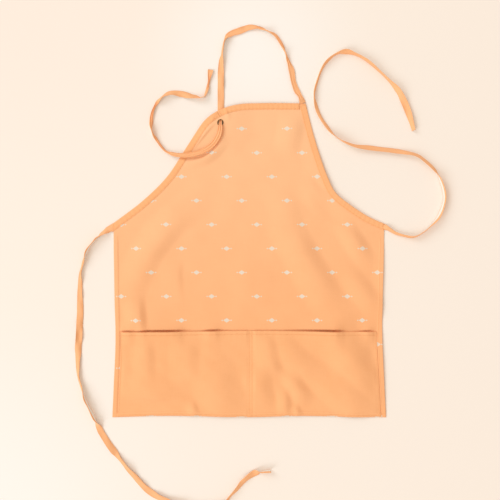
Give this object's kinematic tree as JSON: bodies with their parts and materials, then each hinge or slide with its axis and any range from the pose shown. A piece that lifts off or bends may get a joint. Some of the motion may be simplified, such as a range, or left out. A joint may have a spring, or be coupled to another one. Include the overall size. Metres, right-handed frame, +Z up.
{
  "type": "canvas apron",
  "caption": "Canvas bib apron laid flat, with bound armholes, a wide divided front pocket, a neck strap run through an eyelet and long waist ties.",
  "frame": {"origin": "on the surface that the apron lies on, under the middle of the body without its strap and ties", "axes": "+Z up, out of the apron's front; +Y from the hem towards the bib; +X to the right as seen from above"},
  "size_m": [0.8344, 1.0866, 0.0191],
  "materials": {
    "canvas": "plain-weave canvas, matt",
    "tape": "folded canvas tape, edge stitched, matt",
    "eyelet_brass": "dark antique brass"
  },
  "bodies": {
    "root": {"body_panel": "canvas", "pocket": "canvas", "top_binding": "tape", "armhole_binding_left": "tape", "armhole_binding_right": "tape", "eyelet": "eyelet_brass", "neck_strap": "tape", "tie_left": "tape", "tie_right": "tape"}
  },
  "joints": []
}
